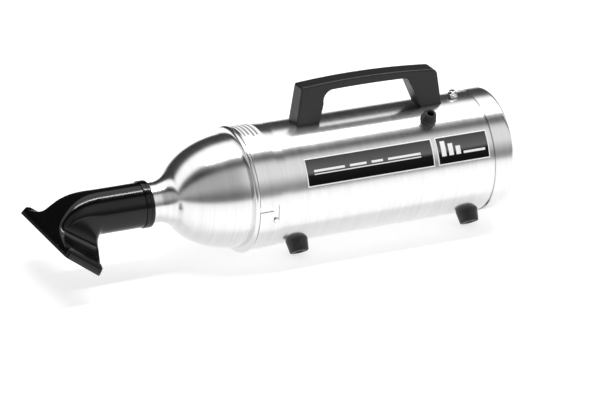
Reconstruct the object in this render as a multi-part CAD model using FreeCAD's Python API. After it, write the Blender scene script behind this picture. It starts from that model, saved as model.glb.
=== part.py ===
import FreeCAD, Part
import math
import os

# A canister hand vacuum-blower: a steel tube lying on four rubber feet, a domed
# nose locked on by a bayonet, a through-flow motor and fan inside, and a moulded
# upholstery nozzle on the nose's spigot.
#
# Every solid is drawn in the machine frame, in millimetres: X runs along the
# tube with X = 0 at the tube's front edge, and the tube's axis is Z = 0. The
# solids are moved to the stand frame when they are written: its origin is on
# the floor, under the middle of the machine's length. Angles round the tube
# are measured from +Y towards +Z, so 90 degrees is the top.

# ---- driving dimensions ------------------------------------------------------

# body tube
TUBE_R = 57.15
SHEET = 0.8
TUBE_LEN = 258.8
BELL_R = 58.05
BELL_LEN = 22.0
BELL_RUN = 10.0

# bayonet
PIN_R = 2.4
PIN_X = 16.2
PIN_COUNT = 2
PIN_PHI = 192.5
UNLOCK_DEG = 12.5
SLOT_HALF = 2.75
SKIRT_GAP = 0.3

# nose dome
SPIGOT_R = 19.05
SPIGOT_TIP_X = -113.0
DOME_BASE_X = -5.4
DOME_BASE_R = 53.8
DOME_LEN = 76.5
NECK_FILLET = 19.0
BEAD_R = 59.6
BEAD_GAP = 0.3
SKIRT_END_X = 20.5

# rear cap
CAP_X = 242.4
CAP_R = 58.4
CAP_END_X = 263.6
CAP_CORNER = 4.6
VENT_COUNT = 16
VENT_WIDTH = 3.6

# feet
FOOT_X = (48.3, 226.0)
FOOT_PHI = (235.5, 304.5)
FOOT_HEIGHT = 11.5
FOOT_BASE_R = 11.0
FOOT_TIP_R = 8.9
FLOOR_Z = -61.0

# handle
HANDLE_FRONT_FOOT = (55.5, 76.9)
HANDLE_REAR_FOOT = (193.5, 210.5)
HANDLE_ROOT_Z = 40.0
HANDLE_FRONT_TOP = (63.4, 93.0)
HANDLE_REAR_TOP = (203.0, 91.2)
HANDLE_TOP_Z = 95.4
HANDLE_MIDDLE_X = 131.0
GRIP_FRONT = ((85.9, 76.0), (89.5, 84.4), (95.8, 86.9))
GRIP_REAR = ((175.1, 81.0), (173.1, 85.0), (169.0, 86.6))
GRIP_MIDDLE_Z = 87.3
HANDLE_HALF_BASE = 10.3
HANDLE_HALF_TOP = 8.4
HANDLE_CORNER = (2.2, 6.5)
HANDLE_EDGE = 1.5
HANDLE_SCREW_X = (69.5, 197.0)

# cord gland and switch
GLAND_X = 184.8
GLAND_PHI = 119.3
GLAND_HEIGHT = 10.0
GLAND_HEX = 11.8
CORD_R = 3.6
SWITCH_X = 224.0
BLADE_APART = 5.0
BLADE_THICK = 0.8

# badges, as the start and end along X, and the angles they span
BADGE_LONG = (48.9, 179.4)
BADGE_SHORT = (183.4, 237.2)
BADGE_PHI = (139.0, 165.8)
BADGE_THICK = 0.35
STICKER_X = (2.0, 20.5)
STICKER_PHI = (62.0, 112.0)

# nozzle; a hood step is the height above the mouth, then the half depth and half width there
SLEEVE_R = 20.9
NOZZLE_WALL = 1.9
CUFF_X = (-97.0, -88.8)
CUFF_R = 22.1
MOUTH_MID = (-175.0, -25.7)
MOUTH_TILT = 36.87
MOUTH_HALF = (21.0, 57.0)
ELBOW_R = 25.8
ELBOW_STEPS = 9
WAIST_N = 18.0
WAIST_SHIFT = -1.5
WAIST_CORNER = 7.0
WAIST_HALF = (19.3, 23.0)
HOOD_STEPS = ((18.6, 18.6, 24.5), (16.0, 18.5, 33.5), (13.0, 18.4, 43.0), (9.8, 18.2, 52.6))
STRIP_N = 2.6
ROUND_FLAT = 0.5

# motor and fan
SHAFT_R = 4.0
FAN_X = 100.0
FAN_R = 43.0
CORE_X = (146.0, 184.0)
CORE_R = 23.0
STATOR_R = 38.0
COMMUTATOR_X = (196.0, 211.0)
COMMUTATOR_R = 11.5
BRUSH_X = (200.0, 207.0)
BRUSH_HALF = 3.0
BRUSH_OUT = 24.0
HOLDER_OUT = 31.0
HOLDER_WALL = 1.0
BEARING_R = 11.0
BEARING_W = 7.0
FRONT_BEARING_X = 127.0
REAR_BEARING_X = 219.0
RUN_GAP = 0.05
BOLT_R = 35.4
BOLT_SHANK = 1.95
BOSS_R = 4.2
SKIRT_R = (37.0, 40.0)
ARM_WIDTH = 8.0
GUARD_X = 80.0
SPIDER_X = (234.0, 236.5)
LEAD_R = 1.0
LEAD_START = 1.8
RACE_WALL = (2.0, 1.9)
BALL_R = 2.0
BALL_GROOVE_R = 2.1
BALL_COUNT = 8
FAN_EYE_R = 17.0
FAN_HUB_R = 8.0
FAN_DEPTH = 15.0
FAN_SHEET = 1.5
FAN_BLADES = 7
SHROUD_R = (46.0, 47.0)
SHROUD_DEPTH = 20.0
DIFFUSER_VANES = 12
DIFFUSER_PORTS = 6
SLOT_COUNT = 12
COMMUTATOR_BARS = 24
BOLT_PHI = (45, 135, 225, 315)
HOLDER_IN = 13.5
BRUSH_IN = 8.0
SHELF_IN = 20.0
SHELF_WIDTH = 10.0
FIELD_R = (27.4, 33.6)
GUARD_SHEET = 1.2
GUARD_RIM = 7.0
GUARD_HOLE_R = 3.4
GUARD_RINGS = ((9.0, 6), (19.0, 12), (29.0, 18), (39.0, 24))

# switch, as heights from the tube's top
SWITCH_HOLE_R = 4.6
BUSHING_R = 4.4
BUSHING_SPAN = (-10.0, 4.0)
BUTTON_R = 3.0
BUTTON_SPAN = (-13.0, 6.8)
SWITCH_BOX = (17.0, 13.0, 15.0)
SWITCH_BOX_FOOT = -25.0
BLADE_SIZE = (4.0, 6.0)
BLADE_FOOT = -31.0
GLAND_TAIL = 9.0

BODY_INNER_R = TUBE_R - SHEET
REAR_END_X = CAP_END_X + 7.0
NODES = {}


# ---- helpers -----------------------------------------------------------------

def vec(x, y, z):
    return FreeCAD.Vector(x, y, z)


X_AXIS = vec(1, 0, 0)
ORIGIN = vec(0, 0, 0)


def add(name, shape):
    NODES[name] = shape


def ring(x0, x1, outer, inner=0.0):
    """A cylinder or a ring about the X axis."""
    body = Part.makeCylinder(outer, x1 - x0, vec(x0, 0, 0), X_AXIS)
    if inner > 0:
        body = body.cut(Part.makeCylinder(inner, x1 - x0, vec(x0, 0, 0), X_AXIS))
    return body


def spin(edges):
    """Turn a closed outline, drawn in the XY plane above the X axis, into a solid."""
    face = Part.Face(Part.Wire(Part.__sortEdges__(edges)))
    return face.revolve(ORIGIN, X_AXIS, 360)


def chain(points):
    """Straight edges through (x, r) points, closed back to the first."""
    spots = [vec(x, r, 0) for x, r in points]
    return [Part.LineSegment(a, b).toShape() for a, b in zip(spots, spots[1:] + spots[:1])]


def lathe(points):
    return spin(chain(points))


def arc(start, middle, end):
    return Part.Arc(vec(*start, 0), vec(*middle, 0), vec(*end, 0)).toShape()


def line(start, end):
    return Part.LineSegment(vec(*start, 0), vec(*end, 0)).toShape()


def turn(shape, degrees):
    """Turn a shape about the X axis."""
    copy = shape.copy()
    copy.rotate(ORIGIN, X_AXIS, degrees)
    return copy


def radial(shape, x, phi):
    """Stand a shape drawn about +Z at the origin on the tube's axis, at x and phi."""
    copy = shape.copy()
    copy.rotate(ORIGIN, X_AXIS, phi - 90)
    copy.translate(vec(x, 0, 0))
    return copy


def post(z0, z1, outer, inner=0.0):
    """A cylinder or a ring about the Z axis."""
    body = Part.makeCylinder(outer, z1 - z0, vec(0, 0, z0), vec(0, 0, 1))
    if inner > 0:
        body = body.cut(Part.makeCylinder(inner, z1 - z0, vec(0, 0, z0), vec(0, 0, 1)))
    return body


def group(shapes):
    return Part.makeCompound(shapes)


def join(shapes):
    whole = shapes[0]
    for shape in shapes[1:]:
        whole = whole.fuse(shape)
    return whole.removeSplitter()


def band(x0, x1, outer, inner, phi0, phi1):
    """A piece of a ring about the X axis between two angles."""
    sector = Part.makeCylinder(outer, x1 - x0, vec(x0, 0, 0), X_AXIS, phi1 - phi0)
    sector = sector.cut(Part.makeCylinder(inner, x1 - x0, vec(x0, 0, 0), X_AXIS))
    middle = sector.Solids[0].CenterOfMass
    zero = math.degrees(math.atan2(middle.z, middle.y))
    return turn(sector.Solids[0], (phi0 + phi1) / 2 - zero)


def hex_post(z0, z1, across, hole=0.0):
    corners = [vec(across / math.sqrt(3) * math.cos(math.radians(60 * i)),
                   across / math.sqrt(3) * math.sin(math.radians(60 * i)), z0) for i in range(7)]
    body = Part.Face(Part.makePolygon(corners)).extrude(vec(0, 0, z1 - z0))
    if hole > 0:
        body = body.cut(post(z0, z1, hole))
    return body


# ---- body tube, rear cap and badges --------------------------------------------

def bayonet_slot(phi):
    """The L-shaped way a bayonet pin takes: in along X, then round to the lock."""
    entry = PIN_PHI - UNLOCK_DEG
    leg = Part.makeBox(PIN_X + SLOT_HALF + 1, 2 * SLOT_HALF, 12, vec(-1, -SLOT_HALF, 52))
    across = band(PIN_X - SLOT_HALF, PIN_X + SLOT_HALF, 64, 50, 0, UNLOCK_DEG)
    across = turn(across, entry)
    end = radial(post(50, 64, SLOT_HALF), PIN_X, PIN_PHI)
    slot = radial(leg, 0, entry).fuse(across).fuse(end)
    return turn(slot, phi)


def body_tube():
    inner = BODY_INNER_R
    bell_inner = BELL_R - SHEET
    back = BELL_LEN + BELL_RUN
    tube = lathe([(0, bell_inner), (0, BELL_R), (BELL_LEN, BELL_R), (back, TUBE_R),
                  (TUBE_LEN, TUBE_R), (TUBE_LEN, inner), (back, inner), (BELL_LEN, bell_inner)])
    for step in range(PIN_COUNT):
        tube = tube.cut(bayonet_slot(step * 360 / PIN_COUNT))
    for x in HANDLE_SCREW_X:
        tube = tube.cut(radial(post(50, 60, 2.7), x, 90))
    for x in FOOT_X:
        for phi in FOOT_PHI:
            tube = tube.cut(radial(post(50, 60, 2.2), x, phi))
    tube = tube.cut(radial(hex_post(50, 60, GLAND_HEX + 0.4), GLAND_X, GLAND_PHI))
    tube = tube.cut(radial(post(50, 60, SWITCH_HOLE_R), SWITCH_X, 90))
    return tube


def rear_cap():
    wall = 1.0
    corner = CAP_CORNER
    flat_r = CAP_R - corner
    bend = math.sin(math.radians(45))
    outer_mid = (CAP_END_X - corner + corner * bend, flat_r + corner * bend)
    small = corner - wall
    inner_mid = (CAP_END_X - corner + small * bend, flat_r + small * bend)
    edges = [
        line((CAP_X, CAP_R - wall), (CAP_X, CAP_R)),
        line((CAP_X, CAP_R), (CAP_END_X - corner, CAP_R)),
        arc((CAP_END_X - corner, CAP_R), outer_mid, (CAP_END_X, flat_r)),
        line((CAP_END_X, flat_r), (CAP_END_X, 3.2)),
        line((CAP_END_X, 3.2), (CAP_END_X - wall, 3.2)),
        line((CAP_END_X - wall, 3.2), (CAP_END_X - wall, flat_r)),
        arc((CAP_END_X - wall, flat_r), inner_mid, (CAP_END_X - corner, CAP_R - wall)),
        line((CAP_END_X - corner, CAP_R - wall), (CAP_X, CAP_R - wall)),
    ]
    cap = spin(edges)
    for ring_r, length in ((19.0, 9.0), (35.0, 13.0)):
        vent = Part.makeBox(6, VENT_WIDTH, length, vec(CAP_END_X - 3, -VENT_WIDTH / 2, ring_r))
        for index in range(VENT_COUNT):
            cap = cap.cut(turn(vent, index * 360 / VENT_COUNT))
    return cap


def cap_spider():
    """The cross inside the tube that anchors the rear cap's stud."""
    rim = ring(*SPIDER_X, BODY_INNER_R - RUN_GAP, BODY_INNER_R - 4.0)
    hub = ring(*SPIDER_X, 7.0)
    depth = SPIDER_X[1] - SPIDER_X[0]
    reach = BODY_INNER_R - 2.0
    bars = [turn(Part.makeBox(depth, reach, ARM_WIDTH, vec(SPIDER_X[0], 0, -ARM_WIDTH / 2)), phi)
            for phi in BOLT_PHI]
    return join([rim, hub] + bars).cut(ring(*SPIDER_X, 2.5))


def body_shell():
    add("body_tube", body_tube())
    add("rear_cap", rear_cap())
    add("exhaust_filter", ring(250.5, 258.5, 55.8, 5.0))
    add("cap_stud", ring(SPIDER_X[0], CAP_END_X + 3.5, 2.5))
    add("cap_spider", cap_spider())
    nut = hex_post(0, 3.6, 9.0)
    dome = Part.makeSphere(4.0, vec(0, 0, 3.0))
    nut = nut.fuse(dome).cut(post(-5, 4.4, 2.55)).cut(Part.makeBox(20, 20, 5, vec(-10, -10, -5)))
    nut.rotate(ORIGIN, vec(0, 1, 0), 90)
    nut.translate(vec(CAP_END_X, 0, 0))
    add("cap_nut", nut)
    outer = TUBE_R + BADGE_THICK
    add("badge_long", band(*BADGE_LONG, outer, TUBE_R, *BADGE_PHI))
    add("badge_short", band(*BADGE_SHORT, outer, TUBE_R, *BADGE_PHI))
    add("rating_sticker", band(*STICKER_X, BELL_R + 0.15, BELL_R, *STICKER_PHI))


# ---- nose: dome, bayonet pins and filter bag ---------------------------------------

def dome_outline(base_r, length, spigot_r, tip_x, fillet):
    """The edges of the dome's line from the spigot's tip back to its base.

    The crown is part of an ellipse and meets the spigot through a hollow arc.
    """
    ellipse = Part.Ellipse(ORIGIN, length, base_r)
    best = None
    for step in range(400):
        t = math.radians(90 + step * 0.2)
        px = length * math.cos(t)
        pr = base_r * math.sin(t)
        nx = math.cos(t) / length
        nr = math.sin(t) / base_r
        size = math.hypot(nx, nr)
        cr = pr + fillet * nr / size
        miss = abs(cr - (spigot_r + fillet))
        if best is None or miss < best[0]:
            best = (miss, t, px, pr, px + fillet * nx / size)
    _, t, px, pr, cx = best
    centre = (cx, spigot_r + fillet)
    start_ang = math.atan2(pr - centre[1], px - centre[0])
    middle_ang = (start_ang - math.pi / 2) / 2
    middle = (centre[0] + fillet * math.cos(middle_ang), centre[1] + fillet * math.sin(middle_ang))
    base_t = math.acos(DOME_BASE_X / length)
    base = (length * math.cos(base_t), base_r * math.sin(base_t))
    crown = Part.ArcOfEllipse(ellipse, base_t, t).toShape()
    return [line((tip_x, spigot_r), (cx, spigot_r)), arc((cx, spigot_r), middle, (px, pr)), crown], base


def nose_dome():
    wall = 0.9
    skirt_outer = BELL_R - SHEET - SKIRT_GAP
    skirt_inner = skirt_outer - wall
    outer, outer_base = dome_outline(DOME_BASE_R, DOME_LEN, SPIGOT_R, SPIGOT_TIP_X, NECK_FILLET)
    inner, inner_base = dome_outline(DOME_BASE_R - wall, DOME_LEN - wall, SPIGOT_R - wall,
                                     SPIGOT_TIP_X, NECK_FILLET + wall)
    bead_r = BEAD_R - 2.1
    edges = outer + inner + [
        line((SPIGOT_TIP_X, SPIGOT_R - wall), (SPIGOT_TIP_X, SPIGOT_R)),
        line(outer_base, (DOME_BASE_X, bead_r)),
        arc((DOME_BASE_X, bead_r), ((DOME_BASE_X - BEAD_GAP) / 2, BEAD_R), (-BEAD_GAP, bead_r)),
        line((-BEAD_GAP, bead_r), (-BEAD_GAP, skirt_outer)),
        line((-BEAD_GAP, skirt_outer), (SKIRT_END_X, skirt_outer)),
        line((SKIRT_END_X, skirt_outer), (SKIRT_END_X, skirt_inner)),
        line((SKIRT_END_X, skirt_inner), (-1.0, skirt_inner)),
        line((-1.0, skirt_inner), inner_base),
    ]
    dome = spin(edges)
    for step in range(PIN_COUNT):
        dome = dome.cut(radial(post(50, 58, 1.5), PIN_X, PIN_PHI + step * 360 / PIN_COUNT))
    return dome


def bayonet_pins():
    skirt_outer = BELL_R - SHEET - SKIRT_GAP
    shank = post(skirt_outer - 1.6, skirt_outer + 0.2, 1.5)
    back = post(skirt_outer - 1.8, skirt_outer - 1.2, 2.3)
    head = post(skirt_outer + 0.1, BELL_R + 0.7, PIN_R)
    head = head.makeFillet(0.6, [edge for edge in head.Edges if edge.BoundBox.ZMin > BELL_R + 0.6])
    pin = join([shank, back, head])
    return group([radial(pin, PIN_X, PIN_PHI + step * 360 / PIN_COUNT) for step in range(PIN_COUNT)])


def filter_bag():
    wall = 1.2
    sack = [(-47.0, 17.4), (-38.0, 40.0), (-20.0, 45.0), (40.0, 45.0), (58.0, 36.0), (62.0, 0.0)]
    inside = [(62.0 - wall, 0.0), (57.0, 35.0), (39.6, 45.0 - wall), (-19.6, 45.0 - wall),
              (-37.0, 39.0), (-45.6, 17.4)]
    return lathe(sack + inside)


def nose():
    add("nose_dome", nose_dome())
    add("bayonet_pins", bayonet_pins())
    add("bag_inlet_pipe", ring(-100.0, -42.0, 17.3, 16.1))
    add("bag_pipe_ring", lathe([(-100.0, 17.3), (-92.0, 17.3), (-92.0, SPIGOT_R - 0.95),
                                (-100.0, SPIGOT_R - 0.95)]))
    add("bag_collar", ring(-53.0, -47.0, 24.0, 17.4))
    add("filter_bag", filter_bag())


# ---- nozzle -------------------------------------------------------------------------

def mouth_point(u, n):
    """A point in the XZ plane from its place across and above the nozzle's mouth."""
    tilt = math.radians(MOUTH_TILT)
    x = MOUTH_MID[0] + u * math.cos(tilt) + n * math.sin(tilt)
    z = MOUTH_MID[1] - u * math.sin(tilt) + n * math.cos(tilt)
    return x, z


def frame_wire(centre, lean, half_u, half_y, corner):
    """A rounded rectangle, its short side leaning from -Z by an angle about Y."""
    across = vec(math.sin(lean), 0, -math.cos(lean))
    along = vec(0, 1, 0)
    middle = vec(centre[0], 0, centre[1])
    spots = []
    for quarter, (side_u, side_y) in enumerate(((1, 1), (-1, 1), (-1, -1), (1, -1))):
        for part in (0, 45, 90):
            angle = math.radians(90 * quarter + part)
            u = side_u * (half_u - corner) + corner * math.cos(angle)
            y = side_y * (half_y - corner) + corner * math.sin(angle)
            spots.append(middle + across * u + along * y)
    edges = []
    for first in range(0, len(spots), 3):
        start, bend, end = spots[first:first + 3]
        edges.append(Part.Arc(start, bend, end).toShape())
        edges.append(Part.LineSegment(end, spots[(first + 3) % len(spots)]).toShape())
    return Part.Wire(edges)


def loft(wires, ruled):
    return Part.makeLoft(wires, True, ruled)


def nozzle_form(wall):
    """The nozzle's outside, or its inside when wall is the thickness taken off."""
    tilt = math.radians(90 - MOUTH_TILT)
    waist = mouth_point(WAIST_SHIFT, WAIST_N)
    arc_x = waist[0] + ELBOW_R * math.sin(tilt)
    arc_z = waist[1] - ELBOW_R * math.cos(tilt)
    sleeve_half = SLEEVE_R - wall
    elbow_wires = [frame_wire((arc_x + 6.0, arc_z + ELBOW_R), 0, sleeve_half, sleeve_half,
                              sleeve_half - ROUND_FLAT)]
    for step in range(ELBOW_STEPS + 1):
        share = step / ELBOW_STEPS
        lean = tilt * share
        centre = (arc_x - ELBOW_R * math.sin(lean), arc_z + ELBOW_R * math.cos(lean))
        half_u = sleeve_half + (WAIST_HALF[0] - SLEEVE_R) * share
        half_y = sleeve_half + (WAIST_HALF[1] - SLEEVE_R) * share
        corner = (sleeve_half - ROUND_FLAT) * (1 - share) + (WAIST_CORNER - wall * 0.5) * share
        elbow_wires.append(frame_wire(centre, lean, half_u, half_y, corner))
    elbow = loft(elbow_wires, True)
    socket = Part.makeCylinder(sleeve_half, CUFF_X[0] - arc_x - 6.0,
                               vec(arc_x + 6.0, 0, arc_z + ELBOW_R), X_AXIS)
    stem_foot = frame_wire(mouth_point(0, HOOD_STEPS[-1][0] - 2), tilt, HOOD_STEPS[-1][1] - wall - 0.3,
                           half_y, corner)
    stem = loft([elbow_wires[-1], stem_foot], True)
    roof_corner = 4.0 - wall * 0.5
    hood_wires = [frame_wire(mouth_point(0, n - wall), tilt, half_u - wall, half_y - wall, roof_corner)
                  for n, half_u, half_y in HOOD_STEPS]
    hood_wires.append(frame_wire(mouth_point(0, STRIP_N), tilt, MOUTH_HALF[0] - 0.4 - wall,
                                 MOUTH_HALF[1] - 0.4 - wall, roof_corner))
    if wall > 0:
        hood_wires.append(frame_wire(mouth_point(0, -1.0), tilt, MOUTH_HALF[0] - 0.4 - wall,
                                     MOUTH_HALF[1] - 0.4 - wall, roof_corner))
    hood = loft(hood_wires, True)
    return join([elbow, socket, stem, hood])


def nozzle():
    body = nozzle_form(0.0).cut(nozzle_form(NOZZLE_WALL))
    body = body.cut(ring(-118.0, CUFF_X[0] + 1, SPIGOT_R + 0.35))
    neck = ring(CUFF_X[0], CUFF_X[0] + 4.0, SLEEVE_R - 0.35, SPIGOT_R + 0.35)
    body = body.fuse(neck).removeSplitter()
    add("nozzle_body", body)
    cuff = ring(CUFF_X[0] + 0.15, CUFF_X[1], CUFF_R, SPIGOT_R + RUN_GAP)
    cuff = cuff.cut(ring(CUFF_X[0], CUFF_X[0] + 4.3, SLEEVE_R - 0.3, 10.0))
    add("nozzle_cuff", cuff)
    tilt = math.radians(90 - MOUTH_TILT)
    outer = loft([frame_wire(mouth_point(0, n), tilt, *MOUTH_HALF, 4.0) for n in (0.0, STRIP_N)], True)
    hole = loft([frame_wire(mouth_point(0, n), tilt, MOUTH_HALF[0] - NOZZLE_WALL - 0.4,
                            MOUTH_HALF[1] - NOZZLE_WALL - 0.4, 3.0) for n in (-1.0, STRIP_N + 1)], True)
    add("nozzle_strip", outer.cut(hole))


# ---- handle and feet ------------------------------------------------------------------

def handle():
    """The bridge handle: its side outline, cut to width by its end outline."""
    def side_line(*spots):
        return Part.makePolygon([vec(x, 0, z) for x, z in spots]).Edges

    def side_arc(start, middle, end):
        return [Part.Arc(*[vec(x, 0, z) for x, z in (start, middle, end)]).toShape()]

    front_out, front_in = [(x, HANDLE_ROOT_Z) for x in HANDLE_FRONT_FOOT]
    rear_in, rear_out = [(x, HANDLE_ROOT_Z) for x in HANDLE_REAR_FOOT]
    edges = side_line(front_in, front_out, HANDLE_FRONT_TOP)
    edges += side_arc(HANDLE_FRONT_TOP, (HANDLE_MIDDLE_X, HANDLE_TOP_Z), HANDLE_REAR_TOP)
    edges += side_line(HANDLE_REAR_TOP, rear_out, rear_in, GRIP_REAR[0])
    edges += side_arc(*GRIP_REAR)
    edges += side_arc(GRIP_REAR[2], (HANDLE_MIDDLE_X, GRIP_MIDDLE_Z), GRIP_FRONT[2])
    edges += side_arc(*GRIP_FRONT)
    edges += side_line(GRIP_FRONT[0], front_in)
    half_depth = HANDLE_HALF_BASE + 2
    blank = Part.Face(Part.Wire(Part.__sortEdges__(edges))).extrude(vec(0, 2 * half_depth, 0))
    blank.translate(vec(0, -half_depth, 0))
    for (x, _), radius in zip((HANDLE_FRONT_TOP, HANDLE_REAR_TOP), HANDLE_CORNER):
        corner = [edge for edge in blank.Edges if edge.BoundBox.XLength + edge.BoundBox.ZLength < 0.01
                  and abs(edge.BoundBox.XMin - x) < 0.1 and edge.BoundBox.ZMin > GRIP_MIDDLE_Z]
        blank = blank.makeFillet(radius, corner)
    above = HANDLE_TOP_Z + 2
    outline = [vec(0, -HANDLE_HALF_BASE, HANDLE_ROOT_Z), vec(0, -HANDLE_HALF_TOP, above),
               vec(0, HANDLE_HALF_TOP, above), vec(0, HANDLE_HALF_BASE, HANDLE_ROOT_Z)]
    width = Part.Face(Part.makePolygon(outline + outline[:1])).extrude(vec(TUBE_LEN, 0, 0))
    body = blank.common(width)
    long_edges = [edge for edge in body.Edges if edge.Length > 3 and edge.BoundBox.ZMin > TUBE_R + 3
                  and abs(edge.CenterOfMass.y) > HANDLE_HALF_TOP - 2]
    body = body.makeFillet(HANDLE_EDGE, long_edges)
    body = body.cut(ring(0, TUBE_LEN, TUBE_R + 0.02))
    for x in HANDLE_SCREW_X:
        body = body.cut(radial(post(HANDLE_ROOT_Z, TUBE_R + 17, 2.1), x, 90))
    return body


def foot(x, phi):
    cone = Part.makeCone(FOOT_BASE_R, FOOT_TIP_R, FOOT_HEIGHT + 4, vec(0, 0, TUBE_R - 4), vec(0, 0, 1))
    tip = [e for e in cone.Edges if e.BoundBox.ZMin > TUBE_R + FOOT_HEIGHT - 0.1]
    cone = cone.makeFillet(1.2, tip)
    cone = cone.cut(post(TUBE_R + FOOT_HEIGHT - 4.5, TUBE_R + FOOT_HEIGHT + 1, 4.2))
    cone = cone.cut(post(TUBE_R - 5, TUBE_R + FOOT_HEIGHT, 2.05))
    standing = radial(cone, x, phi)
    standing = standing.cut(ring(x - 30, x + 30, TUBE_R + 0.02))
    return standing.cut(Part.makeBox(60, 200, 20, vec(x - 30, -100, FLOOR_Z - 20)))


def fittings():
    add("handle", handle())
    inside = BODY_INNER_R
    shank = post(inside - 1.4, inside + 15.0, 2.0)
    screw = join([shank, post(inside - 4.2, inside - 1.4, 4.4)])
    add("handle_screws", group([radial(screw, x, 90) for x in HANDLE_SCREW_X]))
    washer = post(inside - 1.4, inside - 0.4, 6.0, 2.2)
    add("handle_washers", group([radial(washer, x, 90) for x in HANDLE_SCREW_X]))
    screws = []
    names = {(0, 0): "foot_front_left", (0, 1): "foot_front_right",
             (1, 0): "foot_rear_left", (1, 1): "foot_rear_right"}
    for i, x in enumerate(FOOT_X):
        for j, phi in enumerate(FOOT_PHI):
            add(names[(i, j)], foot(x, phi))
            head_z = TUBE_R + FOOT_HEIGHT - 4.4
            shank = post(inside - 6.0, head_z, 1.95)
            screws.append(radial(join([shank, post(head_z, head_z + 2.2, 3.7)]), x, phi))
    add("foot_screws", group(screws))
    nut = hex_post(inside - 4.2, inside - 0.3, 7.0, 2.0)
    nuts = [radial(nut, x, phi) for x in FOOT_X for phi in FOOT_PHI]
    add("foot_nuts", group(nuts))


# ---- gland and switch ---------------------------------------------------------------------

def cord_gland():
    """A tapered rubber bushing with three ribs, its flange seated on the round tube.

    Its shank is hexagonal where it passes the wall, so that it can't turn there.
    """
    base = TUBE_R + 0.1
    outline = [(TUBE_R - 1.0, 7.6), (base + 2.4, 7.6), (base + 2.4, 6.5), (base + 3.3, 6.5),
               (base + 3.3, 7.1), (base + 5.0, 6.8), (base + 5.0, 5.9), (base + 5.9, 5.9),
               (base + 5.9, 6.5), (base + 7.5, 6.2), (base + 7.5, 5.4), (base + 8.3, 5.4),
               (base + 8.3, 5.9), (base + GLAND_HEIGHT, 5.4), (base + GLAND_HEIGHT, CORD_R),
               (TUBE_R - 1.0, CORD_R)]
    points = [vec(0, r, z) for z, r in outline]
    ribs = Part.Face(Part.makePolygon(points + points[:1])).revolve(ORIGIN, vec(0, 0, 1), 360)
    ribs = ribs.cut(ring(-20, 20, TUBE_R + 0.02))
    shank = hex_post(TUBE_R - 1.6, TUBE_R + 1.0, GLAND_HEX, CORD_R)
    tail = post(TUBE_R - GLAND_TAIL, TUBE_R - 1.6, 5.6, CORD_R)
    return join([ribs, shank, tail])


def controls():
    add("cord_gland", radial(cord_gland(), GLAND_X, GLAND_PHI))
    nut = hex_post(BODY_INNER_R - 5.4, BODY_INNER_R - 2.2, 15.0, 5.65)
    add("gland_nut", radial(nut, GLAND_X, GLAND_PHI))
    top = TUBE_R
    low, high = BUSHING_SPAN
    bushing = post(top + low, top + high, BUSHING_R, BUTTON_R + RUN_GAP)
    rim = [e for e in bushing.Edges if e.BoundBox.ZMin > top + high - 0.1 and e.BoundBox.XLength > 7]
    bushing = bushing.makeFillet(0.4, rim)
    add("switch_bushing", radial(bushing, SWITCH_X, 90))
    nut = hex_post(top + 0.35, top + 2.3, 10.6, BUSHING_R + RUN_GAP)
    crown = Part.makeCone(6.6, 5.0, 2.4, vec(0, 0, top + 0.3), vec(0, 0, 1))
    add("switch_nut", radial(nut.common(crown), SWITCH_X, 90))
    add("switch_locknut", radial(hex_post(top - 4.6, top - 2.2, 12.0, BUSHING_R + RUN_GAP),
                                 SWITCH_X, 90))
    long, wide, tall = SWITCH_BOX
    box = Part.makeBox(long, wide, tall, vec(-long / 2, -wide / 2, top + SWITCH_BOX_FOOT))
    box = box.makeFillet(1.0, [e for e in box.Edges if e.BoundBox.ZLength > 10])
    box = box.cut(post(top - 16.5, top - 9, 3.3))
    blades = [Part.makeBox(BLADE_THICK, *BLADE_SIZE,
                           vec(x - BLADE_THICK / 2, -BLADE_SIZE[0] / 2, top + BLADE_FOOT))
              for x in (-BLADE_APART, BLADE_APART)]
    add("switch_body", radial(box, SWITCH_X, 90))
    add("switch_blades", group([radial(blade, SWITCH_X, 90) for blade in blades]))
    button = post(top + BUTTON_SPAN[0], top + BUTTON_SPAN[1], BUTTON_R)
    crown = [e for e in button.Edges if e.BoundBox.ZMin > top + BUTTON_SPAN[1] - 0.1]
    button = button.makeFillet(0.9, crown)
    add("switch_button", radial(button, SWITCH_X, 90))


# ---- motor and fan ------------------------------------------------------------------------

def bearing(name, x):
    half = BEARING_W / 2
    track_out = BEARING_R - RACE_WALL[0]
    track_in = SHAFT_R + RACE_WALL[1]
    outer = ring(x - half, x + half, BEARING_R, track_out)
    inner = ring(x - half, x + half, track_in, SHAFT_R)
    ball_path = (track_out + track_in) / 2
    groove = Part.makeTorus(ball_path, BALL_GROOVE_R, vec(x, 0, 0), X_AXIS)
    outer = outer.cut(groove)
    inner = inner.cut(groove)
    balls = [turn(Part.makeSphere(BALL_R, vec(x, ball_path, 0)), step * 360 / BALL_COUNT)
             for step in range(BALL_COUNT)]
    add(name + "_outer_race", outer)
    add(name + "_inner_race", inner)
    add(name + "_balls", group(balls))


def impeller():
    start = FAN_X + 1.0
    end = FAN_X + FAN_DEPTH
    hub = ring(start, end, FAN_HUB_R, SHAFT_R)
    back = ring(end - FAN_SHEET, end, FAN_R, SHAFT_R)
    rim_x = FAN_X + 6.0
    front = lathe([(start, FAN_EYE_R), (start + 1.2, FAN_EYE_R), (rim_x + 1.2, FAN_R), (rim_x, FAN_R)])
    shapes = [hub, back]
    for index in range(FAN_BLADES):
        blade_arc = Part.Arc(vec(0, 13.0, 0), vec(0, 30.0, 8.5), vec(0, 42.5, 5.0)).toShape()
        blade = Part.makeShell([blade_arc.extrude(vec(13, 0, 0))]).makeOffsetShape(1.2, 0.01, fill=True)
        blade.translate(vec(start + 0.6, 0, 0))
        shapes.append(turn(blade, index * 360 / FAN_BLADES))
    wheel = join(shapes + [front])
    keep = lathe([(start, 0.0), (start, FAN_EYE_R), (rim_x, FAN_R), (end, FAN_R), (end, 0.0)])
    return wheel.common(keep)


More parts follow.
